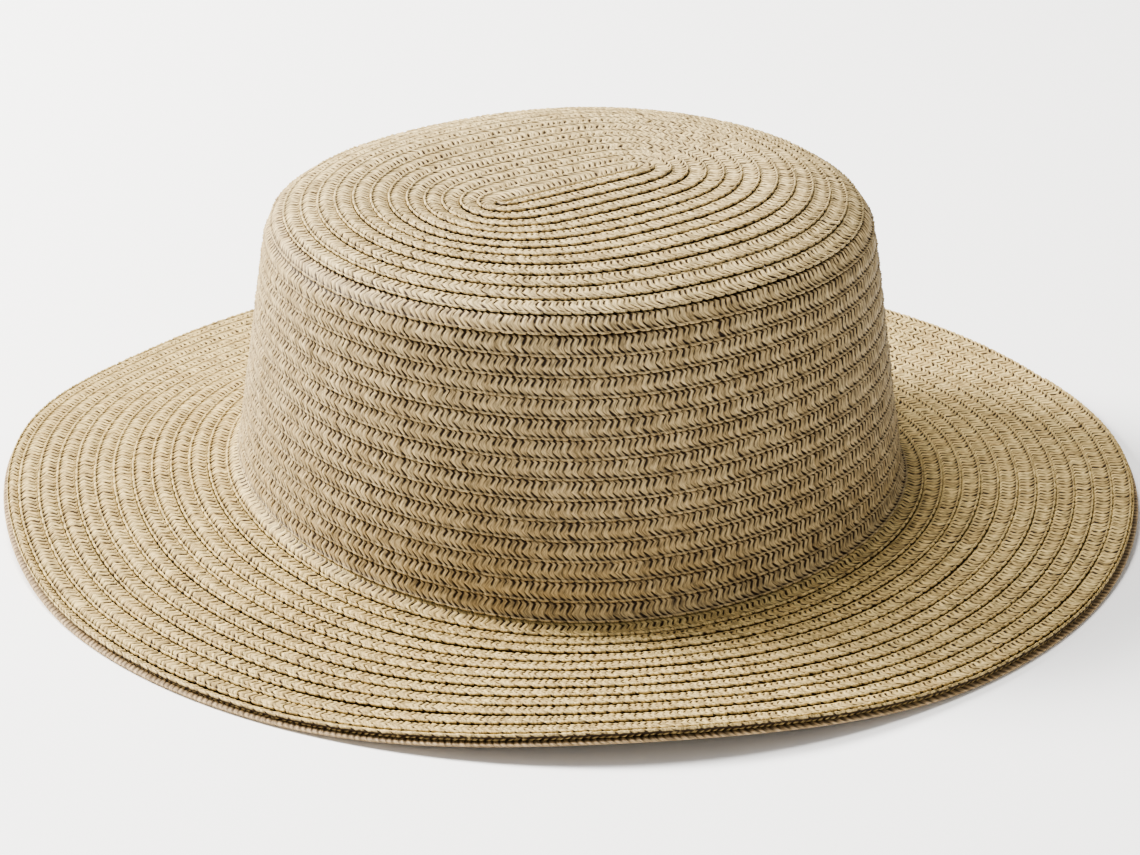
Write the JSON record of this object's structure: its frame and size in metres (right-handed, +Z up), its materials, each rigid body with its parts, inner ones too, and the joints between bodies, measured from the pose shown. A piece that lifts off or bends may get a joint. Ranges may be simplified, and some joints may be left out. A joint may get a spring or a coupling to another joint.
{
  "type": "straw hat",
  "caption": "Straw hat with a low, flat-topped, slightly tapered crown and a wide, gently waved brim, sewn from natural straw braid.",
  "frame": {"origin": "on the surface that the hat rests on, under the middle of the crown and brim", "axes": "+Z up out of the flat top, +X to the right as seen from the front, +Y towards the rear"},
  "size_m": [0.3274, 0.3187, 0.0977],
  "materials": {
    "tip_straw": "matt natural paper straw",
    "side_straw": "matt natural paper straw",
    "brim_straw": "matt natural paper straw",
    "edge_straw": "matt natural paper straw, shaded"
  },
  "bodies": {
    "root": {"crown_tip": "tip_straw", "crown_side": "side_straw", "brim": "brim_straw", "edge_round": "edge_straw"}
  },
  "joints": []
}
